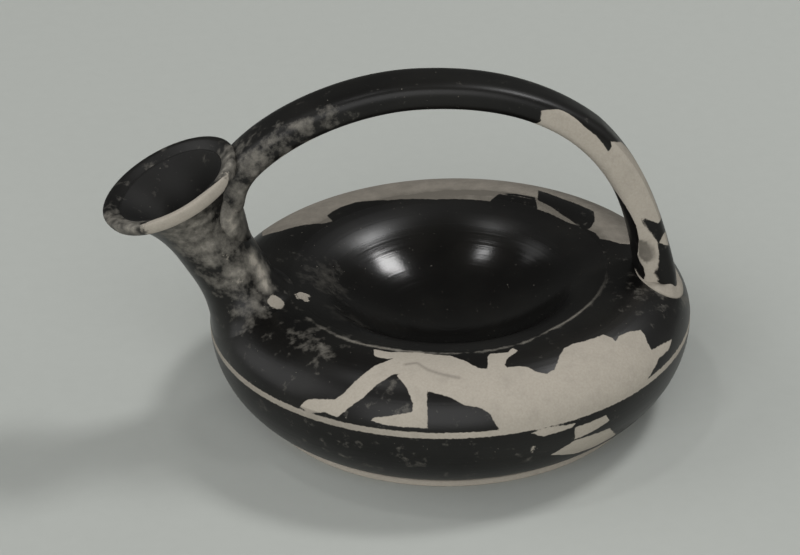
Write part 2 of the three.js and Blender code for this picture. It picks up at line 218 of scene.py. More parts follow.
def mesh_piece(name, grid, ends, marks, material, nodes):
    """A closed skin from a grid of points: its columns run round the piece and always meet, and its
    rows either meet too ("ring") or close on a point at each end ("poles"). Marks are numbers given
    to each grid point that the material reads, 0 where not given. The faces are turned outward by
    the sign of the skin's volume."""
    rows, columns = grid.shape[:2]
    points = grid.reshape(-1, 3)
    index = np.arange(rows * columns).reshape(rows, columns)
    across = np.roll(index, -1, axis=1)
    if ends == "ring":
        below, above = np.roll(index, -1, axis=0), index
        below_across = np.roll(across, -1, axis=0)
        quads = np.stack([above, across, below_across, below], -1).reshape(-1, 4)
        triangles = np.empty((0, 3), int)
    else:
        quads = np.stack([index[:-1], across[:-1], across[1:], index[1:]], -1).reshape(-1, 4)
        poles = np.stack([grid[0].mean(axis=0), grid[-1].mean(axis=0)])
        points = np.concatenate([points, poles])
        first = np.full(columns, rows * columns)
        start = np.stack([first, across[0], index[0]], -1)
        finish = np.stack([first + 1, index[-1], across[-1]], -1)
        triangles = np.concatenate([start, finish])
    corners = np.concatenate([quads.reshape(-1), triangles.reshape(-1)])
    sizes = np.concatenate([np.full(len(quads), 4), np.full(len(triangles), 3)])
    a, b, c = (points[quads[:, k]] for k in range(3))
    d = points[quads[:, 3]]
    volume = np.einsum("ij,ij->", a, np.cross(b, c)) + np.einsum("ij,ij->", a, np.cross(c, d))
    if len(triangles):
        p, q, r = (points[triangles[:, k]] for k in range(3))
        volume += np.einsum("ij,ij->", p, np.cross(q, r))
    starts = np.concatenate([[0], np.cumsum(sizes)[:-1]])
    if volume < 0:
        quads, triangles = quads[:, ::-1], triangles[:, ::-1]
        corners = np.concatenate([quads.reshape(-1), triangles.reshape(-1)])
    mesh = bpy.data.meshes.new(name)
    mesh.vertices.add(len(points))
    mesh.vertices.foreach_set("co", (points * MM).astype(np.float32).reshape(-1))
    mesh.loops.add(len(corners))
    mesh.loops.foreach_set("vertex_index", corners.astype(np.int32))
    mesh.polygons.add(len(sizes))
    mesh.polygons.foreach_set("loop_start", starts.astype(np.int32))
    mesh.polygons.foreach_set("use_smooth", np.ones(len(sizes), bool))
    for mark in MARKS:
        values = np.broadcast_to(marks.get(mark, 0.0), (rows, columns))
        if ends == "poles":
            values = np.concatenate([values.reshape(-1), [values[0].mean(), values[-1].mean()]])
        attribute = mesh.attributes.new(mark, "FLOAT", "POINT")
        attribute.data.foreach_set("value", values.astype(np.float32).reshape(-1))
    mesh.update(calc_edges=True)
    mesh.validate()
    mesh.materials.append(material)
    piece = bpy.data.objects.new(name, mesh)
    bpy.context.scene.collection.objects.link(piece)
    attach(piece, "root")
    if nodes:
        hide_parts(*nodes)
    return piece


# Where bare clay shows: each mark is millimetres inside the edge of the black, or minus the distance to it
def inside_outline(x, y, outline):
    """Millimetres inside a closed outline, negative outside: the distance to its nearest side, with
    its sign from how often a line to the right of the point crosses the outline."""
    corners = np.array(outline, float)
    nearest = np.full(x.shape, np.inf)
    inside = np.zeros(x.shape, bool)
    for (ax, ay), (bx, by) in zip(corners, np.roll(corners, -1, axis=0)):
        side_x, side_y = bx - ax, by - ay
        share = ((x - ax) * side_x + (y - ay) * side_y) / (side_x ** 2 + side_y ** 2)
        share = np.clip(share, 0, 1)
        nearest = np.minimum(nearest, np.hypot(x - ax - share * side_x, y - ay - share * side_y))
        crosses = (ay > y) != (by > y)
        rise = side_y if side_y else 1.0
        inside ^= crosses & (x < ax + (y - ay) * side_x / rise)
    return np.where(inside, nearest, -nearest)


# The reserved decoration, as degrees round the body and millimetres along its face above the ground line
MM_PER_DEGREE = 0.75
NEAR_LEG = [(-137, 1.1), (-135, 3), (-128.2, 4.4), (-126.5, 5.7), (-124.5, 8.8), (-121.5, 12.7),
            (-117.3, 15.6), (-114.8, 16.5), (-109.5, 15.4), (-109.8, 12.8), (-113.8, 11.7),
            (-115.5, 11.4), (-118.7, 8.9), (-121.5, 5.7), (-124.8, 3), (-126.8, 1.3), (-130, 1.6),
            (-134.2, 0.6)]
KNEE_FOLD = [(-125.2, 17.4), (-119.3, 17.3), (-116.5, 18), (-115, 16.3), (-119, 15.1), (-123, 15.1)]
FAR_LEG = [(-114.5, 11.2), (-111.2, 8.8), (-109.2, 5.9), (-109.2, 4.3), (-112, 3.7), (-117.8, 2.6),
           (-118.7, 1.9), (-114.8, 1.5), (-105.5, 1.5), (-106, 8.4), (-108, 13.2), (-112, 13.4)]
TRUNK = [(-116.5, 18), (-110.5, 18.5), (-100.2, 17.6), (-95.8, 15.5), (-92.5, 13.4), (-90, 12.8),
         (-84.2, 12.5), (-81.2, 12.4), (-79, 11.7), (-77.2, 10.1), (-75, 9.3), (-72.5, 9.8), (-69, 12.2),
         (-66, 13.6), (-62.8, 13.9), (-56.8, 13.1), (-52.2, 12.6), (-51, 11), (-51.2, 10.1), (-49, 10.6),
         (-45.2, 10.2), (-41.5, 8.9), (-42, 7.5), (-43.2, 6.4), (-43.5, 4.8), (-38.8, 4.2), (-34.2, 3.3),
         (-37.2, 2.4), (-42.2, 2.6), (-50, 0), (-89, 0), (-90.2, 1.8), (-91.2, 3.6), (-93.2, 4.9),
         (-96.8, 5.6), (-100.5, 7.2), (-106, 8.4), (-110, 12), (-115, 15)]
RAISED_ARM = [(-90.2, 12), (-88.8, 16.4), (-87.5, 17.3), (-82.2, 16.7), (-79.8, 17.9), (-78.8, 16.7),
              (-83.2, 15), (-84.8, 13.4), (-84.5, 11.8)]
FIGURE = [NEAR_LEG, KNEE_FOLD, FAR_LEG, TRUNK, RAISED_ARM]
# Bare patches where the slip has flaked off low on the near side, and a streak beside the ground line
FLAKED = [[(-76.2, -8.4), (-70.2, -5.8), (-60, -6.4), (-54.5, -11.3), (-60.5, -12.2), (-68, -11.4)],
          [(-71, -2.4), (-66.8, -2.4), (-62.2, -2.2), (-60.8, -4.1), (-67, -5.3), (-70.5, -5.5)],
          [(-82, -1.2), (-78.2, -0.6), (-71, -1.5), (-71.8, -2.2), (-79, -2.5)]]
# The soiled pale band of the far side's figure, up to the crest, and the black shape left in it
FAR_BAND = [(145, 10.1), (142.8, 13.4), (131, 19.4), (128, 19.9), (126.8, 17.7), (120.8, 17),
            (113.5, 17.1), (101.8, 19.4), (85, 21.1), (63.5, 21.2), (61.3, 18.3), (56.2, 17.4),
            (48.8, 17.2), (44, 20.6), (28, 20.8), (15.2, 19), (10.5, 19.2), (4.5, 16.4), (2, 11), (6, 4),
            (22, 3), (27, 5.5), (33, 3.2), (58, 2.6), (70, 4.4), (84, 2.8), (103, 3.4), (112, 6.8),
            (117, 3.6), (131, 4.4), (139, 7.2)]
FAR_BLACK = [(51, 13.5), (41, 14.4), (28.2, 14), (22, 16.8), (18.8, 19.1), (20, 20.4), (33.2, 19.7),
             (47, 17.9)]
# The thin line round the crest, by degrees round the body: how far up the face it runs, and how many
# millimetres of its half width are worn away
CREST_LINE = [(-180, 18.7), (-156, 18.6), (-135, 18), (-113, 18.7), (-100, 18.4), (-89, 18.5),
              (-76, 18.9), (-62, 20.6), (-44, 21), (-20, 20.6), (20, 20.4), (33, 19.7), (47, 17.9),
              (90, 19.5), (180, 18.7)]
CREST_FADE = [(-180, 0.4), (-152, 0.3), (-138, 0.12), (-125, 0.02), (-112, 0.14), (-95, 0.2), (-70, 0.2),
              (-58, 0.06), (-45, 0.08), (-35, 0.24), (-20, 0.34), (0, 0.4), (20, 0.3), (35, 0.2),
              (60, 0.12), (120, 0.3), (180, 0.4)]
# How strongly the crest's edge is rubbed, by degrees round the body
CREST_WEAR = [(-180, 0.2), (-160, 0.5), (-140, 1.0), (-115, 1.1), (-95, 0.7), (-70, 0.8), (-55, 1.1),
              (-35, 0.9), (-15, 0.5), (10, 0.2), (40, 0), (140, 0), (180, 0.2)]
GROUND_LINE_HALF, CREST_LINE_HALF = 0.6, 0.22
# A fine contour drawn across the figure's raised knee
KNEE_CONTOUR = [(-113.2, 14.2), (-110, 14.9), (-106.5, 13.2), (-103, 12.2), (-98, 11.2)]


def inside_any(round_body, along, outlines):
    """The greatest of the outlines' distances, with degrees taken as millimetres round the body."""
    scaled = [[(turn * MM_PER_DEGREE, height) for turn, height in outline] for outline in outlines]
    return np.maximum.reduce([inside_outline(round_body, along, outline) for outline in scaled])


def from_line(x, y, line):
    """Millimetres from an open line of straight sides."""
    nearest = np.full(x.shape, np.inf)
    for (ax, ay), (bx, by) in zip(line[:-1], line[1:]):
        side_x, side_y = bx - ax, by - ay
        share = np.clip(((x - ax) * side_x + (y - ay) * side_y) / (side_x ** 2 + side_y ** 2), 0, 1)
        nearest = np.minimum(nearest, np.hypot(x - ax - share * side_x, y - ay - share * side_y))
    return nearest


def body_marks(lengths, azimuth):
    """Where the body's clay was left bare or has flaked, where that clay is darkened by dirt and by painted
    shade past the far crest, and where a fine contour is drawn on it."""
    degrees = (np.degrees(azimuth) + 180) % 360 - 180
    along, turn = np.meshgrid(lengths, degrees, indexing="ij")
    round_body = turn * MM_PER_DEGREE
    crest = np.interp(turn, *zip(*CREST_LINE))
    ground_line = GROUND_LINE_HALF - np.abs(along)
    faded = np.interp(turn, *zip(*CREST_FADE))
    crest_line = CREST_LINE_HALF - faded - np.abs(along - crest)
    figure = inside_any(round_body, along, FIGURE + FLAKED)
    left_black = inside_any(round_body, along, [FAR_BLACK])
    far_band = np.minimum(inside_any(round_body, along, [FAR_BAND]), -left_black)
    bare = np.maximum.reduce([ground_line, crest_line, figure, far_band])
    soil_and_shade = 0.75 * (far_band > -1) + 0.95 * (crest_line > -0.8) * (figure < 0)
    # The far band is darker toward its lower edge at its right end. Past the crest it gets painted shade,
    # where that strip faces the front lamp.
    low_end = np.clip((64 - turn) / 30, 0, 1) * np.clip((15 - along) / 6, 0, 1)
    shade_past_crest = np.clip((along - 17) / 1.5, 0, 1)
    soil_and_shade = soil_and_shade + (far_band > -1) * (0.5 * low_end + 0.3 * shade_past_crest)
    soil_and_shade = np.maximum(soil_and_shade, 0.45 * (np.abs(along) < 1.2) * np.clip((-turn - 100) / 25, 0, 1))
    contour = [(place * MM_PER_DEGREE, height) for place, height in KNEE_CONTOUR]
    traced = np.clip(1 - from_line(round_body, along, contour) / 0.5, 0, 1)
    return {"bare": np.clip(bare, -4, 4), "soil_and_shade": soil_and_shade, "traced": traced}


def crest_wear(lengths, azimuth):
    """How far the edge of the crest is rubbed: a soft bell across its line."""
    degrees = (np.degrees(azimuth) + 180) % 360 - 180
    away = (lengths[:, None] - np.interp(degrees, *zip(*CREST_LINE))) / 0.55
    return np.interp(degrees, *zip(*CREST_WEAR)) * np.exp(-away ** 2)


def near_places(grid, places):
    """How near each point is to the worn places, from 0 to their strength: a bell round each one."""
    amount = np.zeros(grid.shape[:2])
    for x, y, z, reach, strength in places:
        away = np.linalg.norm(grid - np.array([x, y, z]), axis=-1) / reach
        amount = np.maximum(amount, strength * np.exp(-away ** 2))
    return amount


# Materials
def linear(code):
    """An sRGB hex colour as linear red, green, blue and alpha."""
    parts = [int(code[k:k + 2], 16) / 255 for k in (0, 2, 4)]
    return [p / 12.92 if p <= 0.04045 else ((p + 0.055) / 1.055) ** 2.4 for p in parts] + [1.0]


def node(tree, kind, settings=None, **links):
    """Adds a node with its settings, its socket values and its links; a socket is named by its label
    with spaces as underscores, or by its number after one."""
    made = tree.nodes.new(kind)
    for key, value in (settings or {}).items():
        setattr(made, key, value)
    for key, value in links.items():
        socket = made.inputs[int(key[1:])] if key[1:].isdigit() else made.inputs[key.replace("_", " ")]
        if isinstance(value, bpy.types.NodeSocket):
            tree.links.new(value, socket)
        else:
            socket.default_value = value
    return made


def per_mm(size):
    """The noise scale whose lumps are about this many millimetres across, on object coordinates."""
    return 1 / (size * MM)


def maths(tree, operation, *values):
    """A sum, product or other one-step calculation on numbers or sockets."""
    links = {"_" + str(place): value for place, value in enumerate(values)}
    return node(tree, "ShaderNodeMath", {"operation": operation}, **links).outputs[0]


def blend(tree, factor, first, second):
    """One colour passing into another; each is a hex colour or a socket."""
    first, second = (linear(value) if isinstance(value, str) else value for value in (first, second))
    return node(tree, "ShaderNodeMix", {"data_type": "RGBA"}, Factor=factor, _6=first, _7=second).outputs[2]


def between(tree, value, low, high, start=0.0, finish=1.0, smooth=True):
    """A number carried from one range to another, held at the ends."""
    style = {"interpolation_type": "SMOOTHSTEP" if smooth else "LINEAR"}
    return node(tree, "ShaderNodeMapRange", style, Value=value, From_Min=low, From_Max=high, To_Min=start,
                To_Max=finish).outputs["Result"]


def mottle(tree, place, size, detail, roughness):
    """Cloudy noise whose lumps are about this many millimetres across."""
    return node(tree, "ShaderNodeTexNoise", Vector=place, Scale=per_mm(size), Detail=detail,
                Roughness=roughness).outputs["Fac"]


def slipped_clay(name, gloss_roughness, dull_roughness, drifts):
    """Fine fired clay, dipped in a clay slip that fires to a black gloss: thin, a little uneven, glassy
    where it is whole, grey and matte where it is rubbed, and broken to pale clay at chips and edges. The
    same grey and pale tones also paint sheen and highlights where the mark asks for them. Drifts is how
    strongly the rubbed grey clouds and clears from place to place."""
    material = bpy.data.materials.new(name)
    material.use_nodes = True
    tree = material.node_tree
    tree.nodes.clear()
    place = node(tree, "ShaderNodeTexCoord").outputs["Object"]
    marks = {mark: node(tree, "ShaderNodeAttribute", {"attribute_name": mark}).outputs["Fac"]
             for mark in MARKS}

    # The brushed edge of the slip wavers, and the slip breaks away in flakes and pin-sized specks
    ragged = mottle(tree, place, 0.9, 4.0, 0.6)
    line = maths(tree, "ADD", marks["bare"], maths(tree, "MULTIPLY_ADD", ragged, 0.56, -0.28))
    reserved = between(tree, line, -0.1, 0.1)
    patches = mottle(tree, place, 3.6, 7.0, 0.7)
    chipped = between(tree, maths(tree, "ADD", patches, marks["worn"]), 0.97, 1.04)
    speckle = mottle(tree, place, 0.42, 2.0, 0.5)
    specks = between(tree, speckle, 0.745, 0.79, 0.0, 0.7)
    clay = maths(tree, "MAXIMUM", maths(tree, "MAXIMUM", reserved, chipped), specks)

    # Handling has rubbed the gloss cloudy grey in drifts. The mark added to it holds both real rubbing and
    # painted sheen and highlights: grey where it is moderate, pale where it is strong.
    cloud = mottle(tree, place, 2.4, 7.0, 0.64)
    rub_and_sheen_amount = maths(tree, "MULTIPLY_ADD", maths(tree, "SUBTRACT", cloud, 0.5), drifts, marks["rub_and_sheen"])
    rubbed = between(tree, rub_and_sheen_amount, 0.0, 1.0, smooth=False)
    streaks = mottle(tree, place, 14.0, 3.0, 0.5)
    black = blend(tree, between(tree, streaks, 0.35, 0.7), "0e0d0c", "171614")
    slip_tone = blend(tree, rubbed, black, "7d7971")
    slip_tone = blend(tree, between(tree, rub_and_sheen_amount, 0.85, 1.75, 0.0, 0.92), slip_tone, "b2ab9f")

    # The bare clay is pale and fine, smudged, and darkened where it is dirty from handling or the ground,
    # and also as painted shade on bare faces that the lamps light more
    pale = blend(tree, speckle, "a29a8e", "b4ada1")
    pale = blend(tree, between(tree, patches, 0.42, 0.78, 0.0, 0.35), pale, "8b857b")
    dirt_and_shade = maths(tree, "MULTIPLY", marks["soil_and_shade"], between(tree, patches, 0.2, 0.7, 0.7, 1.0))
    pale = blend(tree, dirt_and_shade, pale, "67625a")
    pale = blend(tree, maths(tree, "MULTIPLY", marks["traced"], 0.55), pale, "5f5a52")
    colour = blend(tree, clay, slip_tone, pale)

    slip_rough = between(tree, rubbed, 0.0, 1.0, gloss_roughness, dull_roughness, smooth=False)
    slip_rough = maths(tree, "ADD", slip_rough, marks["matte"])
    rough = node(tree, "ShaderNodeMix", {"data_type": "FLOAT"}, _0=clay, _2=slip_rough, _3=0.88).outputs[0]

    # Faint rings from the wheel, the thickness of the slip, and the clay's grain
    rings = node(tree, "ShaderNodeTexNoise", {"noise_dimensions": "1D"}, W=marks["ring"], Scale=0.62,
                 Detail=3.0, Roughness=0.55).outputs["Fac"]
    ridges = node(tree, "ShaderNodeBump", Strength=1.0, Distance=0.00003, Height=rings).outputs["Normal"]
    grain = maths(tree, "MULTIPLY", speckle, maths(tree, "MULTIPLY_ADD", clay, 0.8, 0.2))
    uneven = maths(tree, "MULTIPLY_ADD", cloud, 0.25, grain)
    relief = maths(tree, "SUBTRACT", uneven, maths(tree, "MULTIPLY", clay, 0.8))
    bump = node(tree, "ShaderNodeBump", Strength=0.5, Distance=0.00006, Height=relief, Normal=ridges)
    shader = node(tree, "ShaderNodeBsdfPrincipled", Base_Color=colour, Roughness=rough,
                  Normal=bump.outputs["Normal"])
    shader.inputs["IOR"].default_value = 1.5
    shader.inputs["Specular IOR Level"].default_value = 0.28
    node(tree, "ShaderNodeOutputMaterial", Surface=shader.outputs["BSDF"])
    return material


def floor_paper():
    """Pale matte card, so the vessel's shadow is soft and plain."""
    material = bpy.data.materials.new("pale_matte_card")
    material.use_nodes = True
    tree = material.node_tree
    shader = tree.nodes["Principled BSDF"]
    place = node(tree, "ShaderNodeTexCoord").outputs["Object"]
    tone = blend(tree, mottle(tree, place, 3.0, 4.0, 0.5), "b6b9b4", "babdb8")
    tree.links.new(tone, shader.inputs["Base Color"])
    shader.inputs["Roughness"].default_value = 0.95
    return material


OUTER_SLIP = slipped_clay("worn_black_gloss_slip", 0.34, 0.7, 3.0)
CENTRE_SLIP = slipped_clay("sheltered_black_gloss_slip", 0.15, 0.5, 0.9)


# Pieces of the body
FOOT_WORN = [(20, -31, 1, 22, 0.5), (-15, -34, 1, 10, 0.35)]


def foot_disc():
    """A thin disc with rounded edges: flat below, softened at the rim."""
    low = arc(FOOT_RADIUS - FOOT_EDGE, FOOT_EDGE, FOOT_EDGE, FOOT_EDGE, -90, 0, 6)
    high = arc(FOOT_RADIUS - FOOT_EDGE, FOOT_THICKNESS - FOOT_EDGE, FOOT_EDGE, FOOT_EDGE, 0, 90, 6)
    flat = np.linspace(2.0, FOOT_RADIUS - FOOT_EDGE, 40)[:-1]
    radius = np.concatenate([flat, low[:, 0], high[:, 0], flat[::-1]])
    height = np.concatenate([0 * flat, low[:, 1], high[:, 1], 0 * flat + FOOT_THICKNESS])
    grid = turned(radius, height)[0]
    marks = {"bare": 0.25, "worn": near_places(grid, FOOT_WORN), "rub_and_sheen": 0.3}
    return mesh_piece("foot_disc_clay", grid, "poles", marks, OUTER_SLIP, ["foot_disc"])


def inner_face(depth):
    """The inside of the outer wall, from the floor to under the crest."""
    line = joined(body_line(depth)[:2])
    return line[line[:, 1] >= FLOOR_TOP]


LOWER_WORN = [(8, -45, 12, 6, 0.4), (-42, -18, 15, 5, 0.3), (-10, -43, 8, 12, 0.36),
              (-30, -30, 6, 12, 0.34)]
LOWER_DULL = [(10, -44, 8, 14, 0.15), (-20, -36, 8, 20, 0.22)]
# Painted reflection: the sunk centre's left side is greyed, standing in for a brighter surround mirrored in
# its gloss
CENTRE_PAINTED_REFLECTION = [(-24, 6, 21, 11, 0.52), (-22, -10, 21, 10, 0.52), (-8, 22, 20, 9, 0.3)]
# Worn and rubbed places of the shoulder and of the spout's skin, which flow into each other. The first
# three worn places are pale spots painted as highlights on the spout's fillet, and the fourth to sixth
# rubbed places paint a pale highlight streak low on the neck's right side.
UPPER_CHIPS_AND_GLINTS = [(-34.3, -6.9, 26.3, 2.3, 0.78), (-28.8, -3.5, 25.2, 2.6, 0.82),
              (-28.3, -5.6, 25.1, 1.4, 0.7), (-44.8, -7, 41, 3, 0.4), (-47.6, -7.6, 43, 3.4, 0.42),
              (-43, -6.6, 36.5, 3.2, 0.4), (-40.8, -6.7, 31.8, 3, 0.42), (-31.5, -20, 25.2, 4, 0.1),
              (44, -12, 21, 5, 0.35), (40.5, -17, 22, 4, 0.3)]
UPPER_RUB_AND_HIGHLIGHT = [(-49, -8.5, 44, 7, 1.05), (-45, -7, 39, 6, 1.15), (-41.8, -7, 33, 5, 1.0),
              (-37.9, -4.6, 34.1, 2.4, 1.7), (-36.5, -4.6, 31.7, 2.2, 2), (-35.7, -5.4, 29.4, 2, 1.7),
              (-38.5, -8, 27.5, 4.5, 0.62), (-37.3, -10.6, 25, 5, 0.3), (-31, -20, 25.4, 4, 0.62),
              (-28, -24.5, 25.2, 3.6, 0.55), (-34, -15, 24, 8, 0.12), (-36, -24, 19, 9, 0.06),
              (-17, -37, 21.5, 5, 0.42), (0, -41, 20.5, 4.5, 0.34), (42, -10, 21, 7, 0.5),
              (36, -16, 24, 6, 0.42)]


def lower_wall():
    """The lower wall and floor: the outer face up to the ground line, then the inside back down."""
    lengths, radius, height = face_stretch(FACE_LENGTH[0], 0, 0.3)
    under = np.linspace(2.0, FOOT_RADIUS - FOOT_EDGE - 0.5, 14)
    inside = inner_face(WALL)
    inside = inside[inside[:, 1] <= GROUND_HEIGHT][::-6]
    floor = np.linspace(inside[-1, 0], 2.0, 10)[1:]
    radius = np.concatenate([under, radius, inside[:, 0], floor])
    height = np.concatenate([0 * under + FOOT_THICKNESS, height, inside[:, 1], 0 * floor + FLOOR_TOP])
    hidden = np.full(len(inside) + len(floor), OUT_OF_SIGHT)
    lengths = np.concatenate([np.full(len(under), -OUT_OF_SIGHT), lengths, hidden])
    grid, azimuth = turned(radius, height)
    rub_and_sheen = near_places(grid, LOWER_DULL) - 0.38
    marks = {"worn": near_places(grid, LOWER_WORN), "rub_and_sheen": rub_and_sheen, "ring": lengths[:, None]}
    marks.update(body_marks(lengths, azimuth))
    return mesh_piece("lower_wall_slip", grid, "poles", marks, OUTER_SLIP, ["lower_bowl"])


def shoulder():
    """The rounded shoulder: the outer face from the ground line to the seam inside the crest, then
    the inside of the wall back down."""
    lengths, radius, height = face_stretch(0, SEAM_LENGTH, 0.28)
    inside = inner_face(WALL)
    inside = inside[inside[:, 1] >= GROUND_HEIGHT][::-8]
    radius = np.concatenate([radius, [CENTRE_SEAM_RADIUS], inside[:, 0]])
    height = np.concatenate([height, [inside[0, 1]], inside[:, 1]])
    lengths = np.concatenate([lengths, np.full(1 + len(inside), OUT_OF_SIGHT)])
    grid, azimuth = turned(radius, height)
    # Among these places are pale spots and a streak painted as highlights near the spout's foot
    rub_and_sheen = near_places(grid, UPPER_RUB_AND_HIGHLIGHT) + crest_wear(lengths, azimuth) - 0.36
    marks = {"worn": near_places(grid, UPPER_CHIPS_AND_GLINTS), "rub_and_sheen": rub_and_sheen, "ring": lengths[:, None]}
    marks.update(body_marks(lengths, azimuth))
    return mesh_piece("shoulder_slip", grid, "ring", marks, OUTER_SLIP, ["shoulder_ring"])


def sunk_centre():
    """The sunk top: the inner slope and bowl from the seam to the middle, with its underside."""
    lengths, radius, height = face_stretch(SEAM_LENGTH, FACE_LENGTH[-1], 0.3)
    lengths, radius, height = lengths[:-4], radius[:-4], height[:-4]
    under = joined(body_line(WALL)[2:])
    under = under[(under[:, 0] <= CENTRE_SEAM_RADIUS) & (under[:, 0] > 1.5)][::-8]
    radius = np.concatenate([under[:, 0], [CENTRE_SEAM_RADIUS], radius])
    height = np.concatenate([under[:, 1], [under[-1, 1]], height])
    lengths = np.concatenate([np.full(len(under) + 1, 2 * OUT_OF_SIGHT), lengths])
    grid, azimuth = turned(radius, height)
    # Painted reflection: the left side of the bowl is greyed by these places
    rub_and_sheen = near_places(grid, CENTRE_PAINTED_REFLECTION) - 0.4
    crestward = np.clip((radius - 20) / 7, 0, 1)[:, None]
    # The worn places near the spout's foot include pale spots painted as highlights
    marks = {"worn": near_places(grid, UPPER_CHIPS_AND_GLINTS) - 0.1, "rub_and_sheen": rub_and_sheen + crest_wear(lengths, azimuth),
             "matte": 0.26 * crestward, "ring": lengths[:, None]}
    marks.update(body_marks(lengths, azimuth))
    return mesh_piece("sunk_centre_gloss", grid, "poles", marks, CENTRE_SLIP, ["sunk_centre"])


# Spout
def spout_foot(share, angle):
    """Points on the shoulder round the spout's foot: an oval at a share of its full size."""
    middle_radius = float(np.interp(COLLAR_MIDDLE, FACE_LENGTH, FACE[:, 0]))
    length = COLLAR_MIDDLE - share * COLLAR_LENGTH * np.cos(angle)
    return on_body(length, np.pi - share * COLLAR_WIDTH * np.sin(angle) / middle_radius)


def spout_wall():
    """The spout's skin, outside and in. Each line up the outside is a Bezier curve: it leaves the
    shoulder along its face, from an oval round the spout's foot, and arrives at the neck along the
    spout's axis. Above the neck the trumpet's flare takes over, and the bore comes back down."""
    angle = np.arange(SPOUT_COLUMNS) * (2 * np.pi / SPOUT_COLUMNS)
    start = spout_foot(1.0, angle) * SKIN_START
    inward = spout_foot(0.98, angle) * SKIN_START - start
    inward /= np.linalg.norm(inward, axis=1)[:, None]
    size = np.hypot(COLLAR_LENGTH * np.cos(angle), COLLAR_WIDTH * np.sin(angle))
    pull = INNER_PULL + (OUTER_PULL - INNER_PULL) * (1 + np.cos(angle)) / 2
    neck = from_spout(NECK_RADIUS, COLLAR_DEPTH, angle)
    below_neck = from_spout(NECK_RADIUS, COLLAR_DEPTH + NECK_PULL, angle)
    share = np.linspace(0, 1, 60)[:, None, None]
    fillet = bezier([start, start + inward * (pull * size)[:, None], below_neck, neck], share)
    depth = np.linspace(COLLAR_DEPTH, RIM_WIDTH, 56)[1:]
    outer = from_spout(flare(NECK_RADIUS, MOUTH_RADIUS, depth)[:, None], depth[:, None], angle)
    funnel_depth = np.linspace(0.9, FLARE_LENGTH, 48)
    inner_depth = np.concatenate([funnel_depth, np.linspace(FLARE_LENGTH, BORE_DEPTH, 20)[1:]])
    inner_radius = flare(BORE_RADIUS, MOUTH_RADIUS - RIM_WIDTH, inner_depth)
    inner = from_spout(inner_radius[:, None], inner_depth[:, None], angle)
    grid = np.concatenate([fillet, outer, inner])
    outside = (np.arange(len(grid)) < len(fillet) + len(outer))[:, None]
    depth = to_spout(grid)[1]
    # The strong rubbed places low on the neck's right side paint a pale highlight streak there
    worn, rub_and_sheen = near_places(grid, UPPER_CHIPS_AND_GLINTS), near_places(grid, UPPER_RUB_AND_HIGHLIGHT) - 0.3
    marks = {"bare": -4.0, "worn": np.where(outside, worn, 0), "rub_and_sheen": np.where(outside, rub_and_sheen, -0.35),
             "matte": np.where(outside, 0, 0.3), "ring": depth}
    return mesh_piece("spout_wall_slip", grid, "ring", marks, OUTER_SLIP, ["spout_neck", "spout_collar"])


# Worn and rubbed places of the lip. Then, by degrees round it: where its clay is bare, from what radius
# outward, and how soiled it is
LIP_WORN = [(-42.5, -8, 54, 4, 0.5), (-50, -13, 48, 6, 0.42), (-60, -10, 44.5, 5, 0.46)]
LIP_DULL = [(-41, -4, 55, 8, 0.95), (-61, -7, 45, 8, 1.0), (-52, -13, 47, 6, 0.6), (-56, 12, 51, 12, 0.3)]
LIP_BARE = [(190, -1.5), (204, -0.25), (226, 0.3), (262, 0.9), (287, 0.3), (303, -0.1), (316, -1.3)]
LIP_BARE_RADIUS = [(203, 13.9), (224, 13.2), (246, 12.0), (262, 11.5), (285, 11.6), (302, 13.0)]
LIP_SOIL = [(170, 0.7), (190, 0.5), (215, 0.1), (260, 0.15)]


def mouth_lip():
    """The lip: an upright outer band that hangs over the flare, a narrow top and an easy turn into the
    funnel, as a line of radius and depth with softened corners, carried round the spout's axis."""
    angle = np.arange(SPOUT_COLUMNS) * (2 * np.pi / SPOUT_COLUMNS)
    under = [(10.6, 3.1), (11.4, 2.75), (12.9, 2.55)]
    band = [(MOUTH_RADIUS - 0.25, 2.1), (MOUTH_RADIUS, 1.2), (MOUTH_RADIUS, 0.3)]
    top = [(MOUTH_RADIUS - 0.35, 0), (MOUTH_RADIUS - 1.1, 0.02)]
    funnel = [(flare(BORE_RADIUS, MOUTH_RADIUS - RIM_WIDTH, depth) + over, depth)
              for over, depth in ((0.85, 0.18), (0.5, 0.6), (0.2, 1.2), (0.04, 2.0))]
    profile = softened(np.array(under + band + top + funnel + [(9.9, 2.5)]), 3)
    grid = from_spout(profile[:, :1], profile[:, 1:], angle)
    turn = np.degrees(angle)
    inner_edge = np.interp(turn, *zip(*LIP_BARE_RADIUS))
    outward = np.clip((profile[:, :1] - inner_edge) / 0.35, -1.5, 1)
    bare = np.minimum(outward, np.interp(turn, *zip(*LIP_BARE)))
    marks = {"bare": bare, "worn": near_places(grid, LIP_WORN), "rub_and_sheen": near_places(grid, LIP_DULL) - 0.35,
             "matte": 0.1, "soil_and_shade": np.interp(turn, *zip(*LIP_SOIL))}
    return mesh_piece("mouth_lip_slip", grid, "ring", marks, OUTER_SLIP, ["mouth_lip"])


# Handle
STRAP_MM_PER_DEGREE = 0.0765
# The degrees at which the strap's section starts, and how far its front end lies inside the neck's face
STRAP_SEAM, INTO_NECK = -130, 0.9
# The middle and spread of its worn edge round the section, and that edge's stretch along it
WORN_EDGE, WORN_SPREAD, WORN_STRETCH = 128, 12, (-34, -20)
